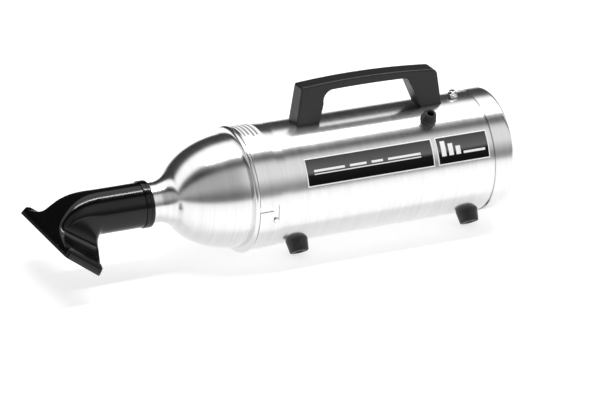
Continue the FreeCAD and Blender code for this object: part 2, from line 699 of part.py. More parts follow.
def fan_shells():
    x = FAN_X
    inner, outer = SHROUD_R
    intake = lathe([(x - 3.0, 16.0), (x - 3.0, outer), (x + SHROUD_DEPTH, outer),
                    (x + SHROUD_DEPTH, inner), (x - 2.0, inner), (x - 2.0, 16.0)])
    add("fan_intake_shell", intake)
    plate_x = x + SHROUD_DEPTH - 1.0
    plate = ring(plate_x - FAN_SHEET, plate_x, inner - 0.2, BEARING_R + 4)
    vanes = []
    for index in range(DIFFUSER_VANES):
        vane = Part.makeBox(3.0, 12.0, 1.2, vec(plate_x, 31.0, -0.6))
        vane.rotate(vec(plate_x, 37.0, 0), X_AXIS, 35)
        vanes.append(turn(vane, index * 360 / DIFFUSER_VANES))
    for index in range(DIFFUSER_PORTS):
        port = Part.makeBox(4.0, 12.0, 12.0, vec(plate_x - 2.5, 26.0, -6.0))
        plate = plate.cut(turn(port, index * 360 / DIFFUSER_PORTS + 15))
    add("diffuser", join([plate] + vanes))


def bracket(skirt_x, hub_x, bearing_x):
    """A bearing bracket: hub, four arms, four bolt bosses and a skirt on the stator.

    The bosses and the skirt run along X, so the arms stay in the hub's own length.
    """
    half = BEARING_W / 2
    hub = ring(*hub_x, BEARING_R + 3.0, SHAFT_R + 3.0)
    hub = hub.cut(ring(bearing_x - half, bearing_x + half, BEARING_R))
    shapes = [hub, ring(*skirt_x, SKIRT_R[1], SKIRT_R[0])]
    low, high = min(hub_x[0], skirt_x[0]), max(hub_x[1], skirt_x[1])
    for phi in BOLT_PHI:
        bar = Part.makeBox(hub_x[1] - hub_x[0], BOLT_R - BEARING_R - 1.5, ARM_WIDTH,
                           vec(hub_x[0], BEARING_R + 1.5, -ARM_WIDTH / 2))
        boss = ring(low, high, BOSS_R).translated(vec(0, BOLT_R, 0))
        shapes += [turn(bar, phi), turn(boss, phi)]
    whole = join(shapes)
    for phi in BOLT_PHI:
        hole = ring(low, high, BOLT_SHANK + 0.15).translated(vec(0, BOLT_R, 0))
        whole = whole.cut(turn(hole, phi))
    return whole


def brush_gear():
    """Two brass holders with their carbon brushes, and the shelves that carry them."""
    holders, brushes, shelves = [], [], []
    x0, x1 = BRUSH_X
    outer = BRUSH_HALF + HOLDER_WALL
    for phi in (0, 180):
        tube = Part.makeBox(x1 - x0 + 2 * HOLDER_WALL, HOLDER_OUT - HOLDER_IN, 2 * outer,
                            vec(x0 - HOLDER_WALL, HOLDER_IN, -outer))
        bore = Part.makeBox(x1 - x0, HOLDER_OUT - HOLDER_WALL - HOLDER_IN, 2 * BRUSH_HALF,
                            vec(x0, HOLDER_IN, -BRUSH_HALF))
        holders.append(turn(tube.cut(bore), phi))
        block = Part.makeBox(x1 - x0 - 0.2, BRUSH_OUT - BRUSH_IN, 2 * BRUSH_HALF - 0.2,
                             vec(x0 + 0.1, BRUSH_IN, 0.1 - BRUSH_HALF))
        brushes.append(turn(block.cut(ring(x0 - 1, x1 + 1, COMMUTATOR_R + RUN_GAP)), phi))
        start = x1 + HOLDER_WALL
        end = REAR_BEARING_X + BEARING_W / 2
        shelf = Part.makeBox(end - start, HOLDER_OUT - SHELF_IN, SHELF_WIDTH,
                             vec(start, SHELF_IN, -SHELF_WIDTH / 2))
        bar = Part.makeBox(BEARING_W, HOLDER_OUT - BEARING_R - 1.5, ARM_WIDTH,
                           vec(end - BEARING_W, BEARING_R + 1.5, -ARM_WIDTH / 2))
        shelves += [turn(shelf, phi), turn(bar, phi)]
    return group(holders), group(brushes), shelves


def lead(points):
    """An insulated wire: straight runs between points with rounded joints."""
    spots = [vec(*point) for point in points]
    shapes = []
    for a, b in zip(spots, spots[1:]):
        shapes.append(Part.makeCylinder(LEAD_R, (b - a).Length, a, b - a))
    shapes += [Part.makeSphere(LEAD_R, spot) for spot in spots[1:-1]]
    return join(shapes)


def inner_leads():
    """Gland to switch, gland to one brush, and switch to the other brush."""
    start_r = TUBE_R - GLAND_TAIL - LEAD_START
    gland_y = start_r * math.cos(math.radians(GLAND_PHI))
    gland_z = start_r * math.sin(math.radians(GLAND_PHI))
    blade_z = TUBE_R - 28.0
    front_blade_x = SWITCH_X - BLADE_APART - BLADE_THICK / 2
    rear_blade_x = SWITCH_X + BLADE_APART + BLADE_THICK / 2
    holder_x = sum(BRUSH_X) / 2
    top = BRUSH_HALF + HOLDER_WALL
    to_switch = [(GLAND_X + 1.6, gland_y, gland_z), (200, -12, 40), (209, 0, blade_z + 2),
                 (214, 0, blade_z), (front_blade_x, 0, blade_z)]
    to_near_brush = [(GLAND_X - 1.6, gland_y, gland_z), (192, -38, 22), (holder_x, -29, 12),
                     (holder_x, -29, top)]
    to_far_brush = [(rear_blade_x, 0, blade_z), (231, 0, blade_z), (231, 20, 19), (212, 33, 14),
                    (holder_x, 29, 12), (holder_x, 29, top)]
    return group([lead(to_switch), lead(to_near_brush), lead(to_far_brush)])


def motor():
    add("motor_shaft", ring(FAN_X - 4.0, REAR_BEARING_X + 6.0, SHAFT_R))
    add("impeller", impeller())
    nut = hex_post(0, 5.0, 13.0, SHAFT_R)
    nut.rotate(ORIGIN, vec(0, 1, 0), 90)
    nut.translate(vec(FAN_X - 4.0, 0, 0))
    add("impeller_nut", nut)
    bearing("front_bearing", FRONT_BEARING_X)
    bearing("rear_bearing", REAR_BEARING_X)
    core = ring(*CORE_X, CORE_R, SHAFT_R)
    for index in range(SLOT_COUNT):
        slot = Part.makeBox(60, 7.0, 3.2, vec(CORE_X[0] - 5, 14.5, -1.6))
        mouth = Part.makeBox(60, 6.0, 1.4, vec(CORE_X[0] - 5, 19.0, -0.7))
        core = core.cut(turn(slot.fuse(mouth), index * 360 / SLOT_COUNT))
    add("armature_core", core)
    coils = []
    for side in (0, 1):
        x0 = CORE_X[side] - 7.5 * (1 - side)
        turnover = lathe([(x0, 8.0), (x0, 17.0), (x0 + 2.5, 20.5), (x0 + 5.0, 20.5), (x0 + 7.5, 17.0),
                          (x0 + 7.5, 8.0)])
        coils.append(turnover.cut(ring(x0 - 1, x0 + 9, SHAFT_R + 0.5)))
    bars = []
    for index in range(SLOT_COUNT):
        bar = Part.makeBox(CORE_X[1] - CORE_X[0], 3.6, 2.8, vec(CORE_X[0], 14.9, -1.4))
        bars.append(turn(bar, index * 360 / SLOT_COUNT))
    add("armature_windings", join(coils + bars))
    drum = ring(*COMMUTATOR_X, COMMUTATOR_R, SHAFT_R)
    for index in range(COMMUTATOR_BARS):
        cut = Part.makeBox(COMMUTATOR_X[1] - COMMUTATOR_X[0] + 2, 1.2, 0.4,
                           vec(COMMUTATOR_X[0] - 1, COMMUTATOR_R - 1.0, -0.2))
        drum = drum.cut(turn(cut, index * 360 / COMMUTATOR_BARS))
    add("commutator", drum)
    stator = ring(*CORE_X, STATOR_R, CORE_R + 0.8)
    for phi in (0, 180):
        window = Part.makeBox(60, 26, 34, vec(CORE_X[0] - 5, 0, 0))
        window.translate(vec(0, -13, 15.0))
        inner_keep = ring(CORE_X[0] - 6, CORE_X[1] + 6, 34.0, CORE_R + 4.0)
        stator = stator.cut(turn(window.common(inner_keep), phi))
    for phi in BOLT_PHI:
        bolt_hole = ring(*CORE_X, BOLT_SHANK + 0.15).translated(vec(0, BOLT_R, 0))
        stator = stator.cut(turn(bolt_hole, phi))
    add("stator_core", stator)
    field = []
    for phi in (0, 180):
        loop = Part.makeBox(CORE_X[1] - CORE_X[0] + 16, 24.0, 8.0, vec(CORE_X[0] - 8, -12.0, 26.6))
        loop = loop.common(ring(CORE_X[0] - 9, CORE_X[1] + 9, FIELD_R[1], FIELD_R[0]))
        field.append(turn(loop, phi))
    add("field_coils", group(field))
    half = BEARING_W / 2
    skirt_x = (CORE_X[0] - 22.0, CORE_X[0] - 0.2)
    hub_x = (FRONT_BEARING_X - half - 1.0, FRONT_BEARING_X + half)
    add("front_bracket", bracket(skirt_x, hub_x, FRONT_BEARING_X))
    rear = bracket((CORE_X[1] + 0.2, CORE_X[1] + 6.0), (REAR_BEARING_X - half, REAR_BEARING_X + half + 1.0),
                   REAR_BEARING_X)
    holders, brushes, shelves = brush_gear()
    add("rear_bracket", join([rear] + shelves))
    add("brush_holders", holders)
    add("carbon_brushes", brushes)
    tail = REAR_BEARING_X + half + 1.0
    bolt = join([ring(CORE_X[0] - 14.0, tail, BOLT_SHANK), ring(tail, tail + 2.8, 3.6)])
    bolt = bolt.translated(vec(0, BOLT_R, 0))
    add("motor_screws", group([turn(bolt, phi) for phi in BOLT_PHI]))
    add("inner_leads", inner_leads())


def mounts_and_guard():
    edge_r = BODY_INNER_R - 0.2
    guard = ring(GUARD_X, GUARD_X + GUARD_SHEET, edge_r)
    guard = guard.fuse(ring(GUARD_X, GUARD_X + GUARD_RIM, edge_r, edge_r - GUARD_SHEET))
    for ring_r, count in GUARD_RINGS:
        for index in range(count):
            hole = ring(GUARD_X - 1, GUARD_X + 3, GUARD_HOLE_R).translated(vec(0, ring_r, 0))
            guard = guard.cut(turn(hole, index * 360 / count))
    add("motor_guard", guard.removeSplitter())
    grip = lathe([(93.0, 47.1), (93.0, BODY_INNER_R - 0.1), (99.0, BODY_INNER_R - 0.1), (101.0, 52.0),
                  (108.0, 52.0), (108.0, 47.1)])
    add("front_mount_ring", grip)
    add("rear_mount_ring", ring(160.0, 170.0, BODY_INNER_R - 0.1, STATOR_R + 0.1))


def main():
    body_shell()
    nose()
    nozzle()
    fittings()
    controls()
    motor()
    fan_shells()
    mounts_and_guard()
    write_nodes()


def write_nodes():
    os.makedirs("parts", exist_ok=True)
    front = mouth_point(-MOUTH_HALF[0], 0)[0]
    middle = (front + REAR_END_X) / 2
    print("stand frame: x shift", -middle, "z shift", -FLOOR_Z)
    for name, shape in NODES.items():
        placed = shape.copy()
        placed.translate(vec(-middle, 0, -FLOOR_Z))
        solids = len(placed.Solids)
        print(name, "valid", placed.isValid(), "solids", solids, "volume", round(placed.Volume, 1))
        placed.exportStep(os.path.join("parts", name + ".step"))


main()
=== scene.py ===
import math
from types import SimpleNamespace

import bmesh
import bpy
from bpy.props import FloatProperty, FloatVectorProperty, IntProperty, PointerProperty
from mathutils import Matrix, Vector, noise


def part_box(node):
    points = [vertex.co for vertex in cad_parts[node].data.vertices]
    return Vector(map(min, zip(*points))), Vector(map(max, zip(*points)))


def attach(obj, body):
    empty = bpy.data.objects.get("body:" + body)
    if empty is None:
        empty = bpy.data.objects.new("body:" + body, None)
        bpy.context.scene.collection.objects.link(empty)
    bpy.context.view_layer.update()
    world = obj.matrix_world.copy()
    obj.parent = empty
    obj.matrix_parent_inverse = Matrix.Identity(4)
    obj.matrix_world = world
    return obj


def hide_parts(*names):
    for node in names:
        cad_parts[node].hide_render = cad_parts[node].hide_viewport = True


bl_info = {
    "name": "Steel Hand Blower",
    "version": (1, 0, 0),
    "blender": (4, 5, 0),
    "location": "View3D > Sidebar > Blower",
    "description": "Finishes and soft parts for a steel canister hand blower",
    "category": "Object",
}

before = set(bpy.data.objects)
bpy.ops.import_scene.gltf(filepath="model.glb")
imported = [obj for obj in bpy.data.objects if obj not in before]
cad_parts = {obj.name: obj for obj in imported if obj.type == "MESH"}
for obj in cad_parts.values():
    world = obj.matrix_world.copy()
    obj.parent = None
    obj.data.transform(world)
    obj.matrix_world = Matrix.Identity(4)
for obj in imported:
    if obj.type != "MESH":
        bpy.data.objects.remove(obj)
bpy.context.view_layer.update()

# The tube's front edge and the height of its axis: every piece is placed from these two.
TUBE_LOW, TUBE_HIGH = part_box("body_tube")
FRONT_X = TUBE_LOW.x
AXIS_Z = (TUBE_LOW.z + TUBE_HIGH.z) / 2


# Edges sharper than this stay sharp, in degrees.
SHARP = 32

# Where the badges and the sticker begin and end along the tube, in millimetres.
LONG_BADGE = (48.9, 179.4)
SHORT_BADGE = (183.4, 237.2)
STICKER = (2.0, 20.5)


def spot(x, y, z):
    """A point given in millimetres from the tube's front edge and axis."""
    return Vector((FRONT_X + x / 1000, y / 1000, AXIS_Z + z / 1000))


# ---- shader maths ------------------------------------------------------------------

class Wire:
    """A shader socket that arithmetic can be written with."""

    def __init__(self, work, socket):
        self.work = work
        self.socket = socket

    def __add__(self, other):
        return self.work.maths("ADD", self, other)

    def __radd__(self, other):
        return self.work.maths("ADD", other, self)

    def __sub__(self, other):
        return self.work.maths("SUBTRACT", self, other)

    def __rsub__(self, other):
        return self.work.maths("SUBTRACT", other, self)

    def __mul__(self, other):
        return self.work.maths("MULTIPLY", self, other)

    def __rmul__(self, other):
        return self.work.maths("MULTIPLY", other, self)

    def __truediv__(self, other):
        return self.work.maths("DIVIDE", self, other)

    def __rtruediv__(self, other):
        return self.work.maths("DIVIDE", other, self)

    def __lt__(self, other):
        return self.work.maths("LESS_THAN", self, other)

    def __abs__(self):
        return self.work.maths("ABSOLUTE", self)


class NodeWork:
    """A node tree being wired up."""

    def __init__(self, tree):
        self.tree = tree

    def feed(self, socket, value):
        if isinstance(value, Wire):
            self.tree.links.new(value.socket, socket)
        else:
            socket.default_value = value

    def node(self, kind, settings=None, inputs=None, output=0):
        """Adds a node: its settings first, then its sockets' values or links."""
        made = self.tree.nodes.new(kind)
        for name, value in (settings or {}).items():
            if name == "stops":
                ramp = made.color_ramp
                while len(ramp.elements) < len(value):
                    ramp.elements.new(1.0)
                for element, (position, colour) in zip(ramp.elements, value):
                    element.position = position
                    element.color = (*colour, 1)
            else:
                setattr(made, name, value)
        for key, value in (inputs or {}).items():
            self.feed(made.inputs[key], value)
        return Wire(self, made.outputs[output])

    def maths(self, operation, *values):
        return self.node("ShaderNodeMath", {"operation": operation}, dict(enumerate(values)))

    def parts(self, vector):
        split = self.node("ShaderNodeSeparateXYZ", inputs={0: vector}).socket.node
        return [Wire(self, socket) for socket in split.outputs]

    def point(self, x, y, z):
        return self.node("ShaderNodeCombineXYZ", inputs={0: x, 1: y, 2: z})

    def ramp(self, value, *stops):
        """A grey ramp through (position, grey) stops."""
        colours = [(at, (grey, grey, grey)) for at, grey in stops]
        return self.node("ShaderNodeValToRGB", {"stops": colours}, {0: value})

    def mix(self, share, first, second):
        """A colour between two others."""
        sides = [value if isinstance(value, Wire) else (*value, 1) for value in (first, second)]
        return self.node("ShaderNodeMix", {"data_type": "RGBA"},
                         {0: share, 6: sides[0], 7: sides[1]}, output=2)

    def speckle(self, vector, scale, detail=2.0):
        return self.node("ShaderNodeTexNoise", inputs={
            "Vector": vector, "Scale": scale, "Detail": detail})

    def step(self, value, low, high):
        """0 below low, 1 above high, and smooth between."""
        return self.node("ShaderNodeMapRange", {"interpolation_type": "SMOOTHSTEP"},
                         {0: value, 1: low, 2: high, 3: 0.0, 4: 1.0})

    def band(self, value, low, high, soft):
        """1 between low and high, with soft edges."""
        begun = self.step(value, low - soft, low + soft)
        return begun * (1 - self.step(value, high - soft, high + soft))


class Finish(NodeWork):
    """A surface finish: a Principled shader and what feeds it."""

    def __init__(self, name, **sockets):
        self.material = bpy.data.materials.new(name)
        self.material.use_nodes = True
        super().__init__(self.material.node_tree)
        self.shader = self.tree.nodes["Principled BSDF"]
        for title, value in sockets.items():
            self.give(title.replace("_", " "), value)

    def give(self, title, value):
        self.feed(self.shader.inputs[title], value)

    def place(self):
        return self.node("ShaderNodeTexCoord", output="Object")

    def relief(self, height, strength, depth):
        """Raises the surface by height times depth, in metres."""
        self.give("Normal", self.node("ShaderNodeBump", inputs={
            "Strength": strength, "Distance": depth, "Height": height}))

    def round_axis(self):
        """Along the tube, the distance from its axis, and the angle round it in degrees."""
        x, y, z = self.parts(self.place())
        lift = z - AXIS_Z
        out = self.maths("SQRT", y * y + lift * lift)
        angle = self.maths("ARCTAN2", lift, y) * (180 / math.pi)
        return x, out, angle


def grey(level):
    return (level, level, level)


def tinted(colour, factor):
    return tuple(channel * factor for channel in colour)


# ---- sizes and colours -----------------------------------------------------------------

class BlowerStudio(bpy.types.PropertyGroup):
    floor_back: FloatProperty(
        name="Floor behind", description="How far the floor reaches behind the blower",
        default=3.0, unit="LENGTH")
    floor_front: FloatProperty(
        name="Floor in front", description="How far the floor reaches in front of the blower",
        default=3.0, unit="LENGTH")
    floor_side: FloatProperty(
        name="Floor to the side", description="How far the floor reaches to each side",
        default=3.0, unit="LENGTH")
    floor_glow: FloatProperty(
        name="Floor glow", description="Light given off by the lit floor", default=0.72)
    softbox: FloatProperty(
        name="Softbox", description="Strength of the overhead softbox", default=1.3)
    strip: FloatProperty(
        name="Strip light", description="Power of the thin strip light",
        default=20.0, unit="POWER")
    distance: FloatProperty(
        name="Camera distance", description="From the camera to the blower",
        default=3.5, unit="LENGTH")
    lens: FloatProperty(
        name="Lens", description="Focal length of the camera's lens",
        default=224.3, unit="CAMERA")


class BlowerColours(bpy.types.PropertyGroup):
    steel: FloatVectorProperty(
        name="Steel", description="Brushed steel", subtype="COLOR", default=(0.80, 0.80, 0.80))
    plastic: FloatVectorProperty(
        name="Plastic", description="Black moulded plastic", subtype="COLOR",
        default=(0.006, 0.006, 0.0063))
    rubber: FloatVectorProperty(
        name="Rubber", description="Black rubber", subtype="COLOR",
        default=(0.010, 0.010, 0.010))
    cloth: FloatVectorProperty(
        name="Bag cloth", description="Filter bag cloth", subtype="COLOR",
        default=(0.60, 0.58, 0.53))
    steel_roughness: FloatProperty(
        name="Steel roughness", description="How dull the brushed steel is",
        default=0.205, subtype="FACTOR")
    # Painted shade on the rear cap's flat face: its colour is darkened to this share.
    rear_face_shade: FloatProperty(
        name="Rear face", description="How bright the rear cap's flat face is beside the tube",
        default=0.58, subtype="FACTOR")


class BlowerNose(bpy.types.PropertyGroup):
    radius: FloatProperty(
        name="Dome radius", description="Radius at the dome's base",
        default=0.0538, unit="LENGTH")
    length: FloatProperty(
        name="Dome length", description="Length of the dome's full curve",
        default=0.0765, unit="LENGTH")
    neck: FloatProperty(
        name="Neck radius", description="Outside radius of the neck",
        default=0.01905, unit="LENGTH")
    hollow: FloatProperty(
        name="Hollow", description="Radius of the curve into the neck",
        default=0.0190, unit="LENGTH")
    sheet: FloatProperty(
        name="Sheet", description="Thickness of the spun steel",
        default=0.0009, unit="LENGTH")
    sides: IntProperty(name="Sides", description="Points round the dome", default=224)


class BlowerNozzle(bpy.types.PropertyGroup):
    wall: FloatProperty(
        name="Wall", description="Wall thickness", default=0.0019, unit="LENGTH")
    socket_wall: FloatProperty(
        name="Socket wall", description="Wall thickness where the sleeve slides over the neck",
        default=0.0015, unit="LENGTH")
    rings: IntProperty(
        name="Rings", description="Cross sections between two drawn ones", default=5)
    sides: IntProperty(name="Sides", description="Points round a cross section", default=72)


class BlowerBag(bpy.types.PropertyGroup):
    sag: FloatProperty(
        name="Sag", description="How far the empty bag hangs", default=0.0035, unit="LENGTH")
    folds: FloatProperty(
        name="Folds", description="Depth of the cloth's folds", default=0.0022, unit="LENGTH")
    around: IntProperty(name="Around", description="Points round the bag", default=144)


def in_mm(group):
    """A group's sizes, with its lengths in millimetres and its counts as they are."""
    sizes = {name: getattr(group, name) for name in type(group).__annotations__}
    return SimpleNamespace(**{name: value * 1000 if isinstance(value, float) else value
                              for name, value in sizes.items()})


# ---- meshes ------------------------------------------------------------------------------

def make_piece(name, points, faces, finish, body, replaced):
    """A mesh piece that rides on a body and stands for the CAD nodes it replaces."""
    mesh = bpy.data.meshes.new(name)
    mesh.from_pydata(points, [], faces)
    work = bmesh.new()
    work.from_mesh(mesh)
    bmesh.ops.recalc_face_normals(work, faces=work.faces)
    work.to_mesh(mesh)
    work.free()
    mesh.materials.append(finish)
    mesh.shade_smooth()
    piece = bpy.data.objects.new(name, mesh)
    bpy.context.scene.collection.objects.link(piece)
    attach(piece, body)
    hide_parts(*replaced)
    return piece


def crease(mesh, degrees=SHARP):
    """Smooth shading that keeps edges sharper than the given angle."""
    mesh.shade_smooth()
    mesh.set_sharp_from_angle(angle=math.radians(degrees))


def skin(loops, closed=True):
    """Faces over loops of equally many points; closed joins the last loop to the first."""
    count = len(loops[0])
    points = [point for loop in loops for point in loop]
    faces = []
    last = len(loops) if closed else len(loops) - 1
    for row in range(last):
        after = (row + 1) % len(loops)
        for at in range(count):
            beside = (at + 1) % count
            faces.append((row * count + at, row * count + beside,
                          after * count + beside, after * count + at))
    return points, faces


def lathe(profile, sides, origin=(0, 0, 0), turn=None):
    """Loops about the X axis through (x, r) points in millimetres, turned and moved."""
    turn = turn or Matrix.Identity(3)
    loops = []
    for x, r in profile:
        loop = []
        for at in range(sides):
            angle = 2 * math.pi * at / sides
            local = turn @ Vector((x, r * math.cos(angle), r * math.sin(angle)))
            loop.append(spot(*(local + Vector(origin))))
        loops.append(loop)
    return loops


def between(rows, per_gap):
    """Rows of numbers with per_gap more between each pair, on a smooth curve."""
    out = []
    for index in range(len(rows) - 1):
        before = rows[max(index - 1, 0)]
        start, end = rows[index], rows[index + 1]
        after = rows[min(index + 2, len(rows) - 1)]
        for step in range(per_gap + 1):
            t = step / (per_gap + 1)
            row = []
            for a, b, c, d in zip(before, start, end, after):
                row.append(0.5 * (2 * b + (c - a) * t + (2 * a - 5 * b + 4 * c - d) * t * t
                                  + (3 * b - a - 3 * c + d) * t ** 3))
            out.append(row)
    out.append(list(rows[-1]))
    return out


def finish_nodes(finish, *names, degrees=SHARP):
    """Gives CAD nodes their finish, and smooth shading between their edges."""
    for name in names:
        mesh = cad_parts[name].data
        mesh.materials.clear()
        mesh.materials.append(finish)
        crease(mesh, degrees)


# ---- finishes ------------------------------------------------------------------------------

# The rear cap's face is painted with shade, a darker colour, out to the first of these radii in
# metres, and is as bright as the tube from the second.
SHADED_FACE_RADII = (0.0515, 0.0555)


def brushed_steel(name, lean, flat=1.0):
    """Steel brushed in rings round the tube.

    lean is how the rings follow the radius, and flat is how bright an end face is: below 1 it
    darkens the face's colour as painted shade.
    """
    colours = bpy.context.scene.blower_colours
    finish = Finish(name, Metallic=1.0)
    x, out, _ = finish.round_axis()
    _, y, z = finish.parts(finish.place())
    along = x + out * lean
    fine = finish.speckle(finish.point(along * 1500, y * 9, z * 9), 1.0, 3.0)
    broad = finish.speckle(finish.point(along * 160, y * 5, z * 5), 1.0, 2.0)
    handled = finish.speckle(finish.place(), 22.0, 3.0)
    lines = fine * 0.6 + broad * 0.4
    dark, light = 0.80, 1.14
    shade = finish.mix(lines, tinted(colours.steel, dark), tinted(colours.steel, light))
    # Painted shade: below 1, flat darkens the end face's colour inside the first of the radii.
    if flat < 1:
        shaded_end = finish.mix(lines, tinted(colours.steel, dark * flat),
                          tinted(colours.steel, light * flat))
        shade = finish.mix(finish.step(out, *SHADED_FACE_RADII), shaded_end, shade)
    finish.give("Base Color", shade)
    dullness = 0.07 * (lines - 0.5) + 0.05 * (handled - 0.5)
    finish.give("Roughness", colours.steel_roughness + dullness)
    finish.relief(lines, 0.22, 0.00010)
    return finish.material


def bright_metal(name, level, roughness):
    """Plated or ground metal with faint smears."""
    finish = Finish(name, Metallic=1.0)
    smear = finish.speckle(finish.place(), 160.0, 3.0)
    finish.give("Base Color", finish.mix(smear, grey(level * 0.94), grey(level)))
    finish.give("Roughness", roughness + 0.06 * smear)
    finish.relief(finish.speckle(finish.place(), 900.0, 2.0), 0.06, 0.00005)
    return finish.material


def moulded_plastic(name, colour, roughness, grain, depth, gloss=0.42):
    """Plastic with a moulded grain, a little lighter where it has been rubbed."""
    finish = Finish(name, Specular_IOR_Level=gloss)
    cells = finish.speckle(finish.place(), grain, 3.0)
    worn = finish.speckle(finish.place(), 45.0, 4.0)
    rubbed = finish.step(worn, 0.52, 0.75)
    finish.give("Base Color", finish.mix(rubbed, colour, tuple(c * 1.6 + 0.001 for c in colour)))
    finish.give("Roughness", roughness + 0.10 * (cells - 0.5) - 0.05 * rubbed)
    finish.relief(cells, 0.35, depth)
    return finish.material


def gloss_plastic(name, roughness):
    """The nozzle's and collar's black plastic, polished and darker than the rest."""
    colour = tinted(bpy.context.scene.blower_colours.plastic, 0.2)
    return moulded_plastic(name, colour, roughness, 260.0, 0.00001, gloss=0.34)


def rubber(name):
    """Black rubber with a pale bloom in patches."""
    colour = tuple(bpy.context.scene.blower_colours.rubber)
    finish = Finish(name)
    bloom = finish.step(finish.speckle(finish.place(), 130.0, 4.0), 0.45, 0.8)
    finish.give("Base Color", finish.mix(bloom, colour, tuple(c + 0.010 for c in colour)))
    finish.give("Roughness", 0.42 + 0.2 * bloom)
    finish.relief(finish.speckle(finish.place(), 2200.0, 2.0), 0.4, 0.00008)
    return finish.material


# The badges' top edge and height, as angles round the tube, and their frame in metres.
BADGE_TOP = 139.0
BADGE_HEIGHT = 26.8
BADGE_RIM = 0.0009


def badge_foil(name, extent, bars):
    """Printed foil: a thin pale frame, a field that darkens downwards, and plain bars.

    Each bar is its left, right, top and bottom as shares of the badge.
    """
    finish = Finish(name, Specular_IOR_Level=0.12)
    x, _, angle = finish.round_axis()
    angle = angle + 360 * (angle < 0)
    left, right = (FRONT_X + edge / 1000 for edge in extent)
    across = (x - left) / (right - left)
    down = (angle - BADGE_TOP) / BADGE_HEIGHT
    inside = (finish.band(x, left + BADGE_RIM, right - BADGE_RIM, 0.00008)
              * finish.band(down, 0.04, 0.96, 0.003))
    field = finish.ramp(down, (0.0, 0.05), (0.5, 0.14), (0.62, 0.004), (1.0, 0.0005))
    grain = finish.speckle(finish.place(), 1600.0, 2.0)
    shade = finish.mix(grain * 0.2, field, grey(0.006))
    ink = 0.0
    for start, end, top, bottom in bars:
        bar = finish.band(across, start, end, 0.002) * finish.band(down, top, bottom, 0.008)
        ink = finish.maths("MAXIMUM", ink, bar)
    printed = finish.mix(ink, shade, grey(0.95))
    finish.give("Base Color", finish.mix(inside, grey(0.97), printed))
    finish.give("Roughness", 0.24 + 0.08 * grain)
    finish.relief(ink + (1 - inside), 0.2, 0.00008)
    return finish.material


# The rules on the sticker: their count, and the angles round the tube that they lie between.
RULES = 4.5
RULES_FROM, RULES_TO, RULES_END = 68.0, 106.0, 112.0


def sticker_paper(name, extent):
    """White paper with plain ruled lines of uneven length."""
    finish = Finish(name)
    x, _, angle = finish.round_axis()
    left, right = (FRONT_X + edge / 1000 for edge in extent)
    across = (x - left) / (right - left)
    row = across * RULES
    line = finish.band(finish.maths("FRACT", row), 0.30, 0.72, 0.06)
    uneven = finish.point(finish.maths("FLOOR", row) * 9.7, 0.0, 0.0)
    reach = finish.speckle(uneven, 1.0, 0.0)
    ends = (finish.band(angle, RULES_FROM, RULES_TO, 0.4)
            * finish.step(RULES_END - angle, 2 + 14 * reach, 3 + 14 * reach))
    ink = line * ends * finish.band(across, 0.08, 0.92, 0.01)
    fibre = finish.speckle(finish.place(), 1500.0, 3.0)
    paper = finish.mix(fibre, grey(0.74), grey(0.86))
    finish.give("Base Color", finish.mix(ink * 0.85, paper, grey(0.07)))
    finish.give("Roughness", 0.34 + 0.14 * fibre)
    finish.relief(fibre, 0.2, 0.00005)
    return finish.material


def woven_cloth(name, colour, count):
    """Plain weave from two crossing sets of threads wrapped round the axis."""
    finish = Finish(name, Sheen_Weight=0.25, Sheen_Roughness=0.5)
    x, _, angle = finish.round_axis()
    warp = finish.maths("SINE", x * count)
    weft = finish.maths("SINE", angle * (count * 0.045 * math.pi / 180))
    weave = warp * weft * 0.5 + 0.5
    slub = finish.speckle(finish.place(), 300.0, 4.0)
    thread = weave * 0.5 + slub * 0.5
    finish.give("Base Color", finish.mix(thread, tinted(colour, 0.72), tinted(colour, 1.08)))
    finish.give("Roughness", 0.82 + 0.10 * slub)
    finish.relief(weave + slub * 0.5, 0.6, 0.0003)
    return finish.material


def open_foam(name):
    """Black foam with open cells, painted darker inside the cells as shade."""
    finish = Finish(name)
    cells = finish.node("ShaderNodeTexVoronoi", inputs={"Vector": finish.place(), "Scale": 900.0})
    pores = finish.step(cells, 0.1, 0.6)
    # Painted shade: the hollows of the cells are darker than their walls.
    finish.give("Base Color", finish.mix(pores, grey(0.012), grey(0.10)))
    finish.give("Roughness", 0.85 + 0.1 * pores)
    finish.relief(pores, 0.8, 0.0005)
    return finish.material


def cast_metal(name, level):
    """Metal with the rough skin of a casting."""
    finish = Finish(name, Metallic=1.0)
    cast_skin = finish.speckle(finish.place(), 700.0, 5.0)
    finish.give("Base Color", finish.mix(cast_skin, grey(level * 0.75), grey(level)))
    finish.give("Roughness", 0.42 + 0.2 * cast_skin)
    finish.relief(cast_skin, 0.5, 0.0002)
    return finish.material


def laminations(name):
    """A stack of thin steel sheets, seen at their edges."""
    finish = Finish(name, Metallic=0.9)
    x, _, _ = finish.round_axis()
    sheets = finish.maths("FRACT", x * 2000.0)
    gap = finish.band(sheets, 0.0, 0.2, 0.08)
    oxide = finish.speckle(finish.place(), 240.0, 4.0)
    soot = gap * 0.8 + oxide * 0.2
    finish.give("Base Color", finish.mix(soot, grey(0.32), (0.07, 0.06, 0.055)))
    finish.give("Roughness", 0.40 + 0.2 * oxide)
    finish.relief(1 - gap, 0.4, 0.0001)
    return finish.material


def wound_wire(name, colour):
    """Enamelled wire laid in strands along the axis, with painted shade between the strands and
    lighter crowns.
    """
    finish = Finish(name, Metallic=0.85, Coat_Weight=0.5, Coat_Roughness=0.2)
    _, _, angle = finish.round_axis()
    strands = finish.maths("FRACT", angle * 0.8)
    round_top = 1 - abs(strands * 2 - 1)
    stain = finish.speckle(finish.place(), 200.0, 3.0)
    # Painted shade: darker in the grooves between strands and lighter on their crowns, mixed with
    # real stain.
    stain_and_strand_shade = round_top * 0.7 + stain * 0.3
    finish.give("Base Color", finish.mix(stain_and_strand_shade, tinted(colour, 0.35), colour))
    finish.give("Roughness", 0.28 + 0.14 * stain)
    finish.relief(round_top, 0.6, 0.0003)
    return finish.material


# ---- operators ---------------------------------------------------------------------------------

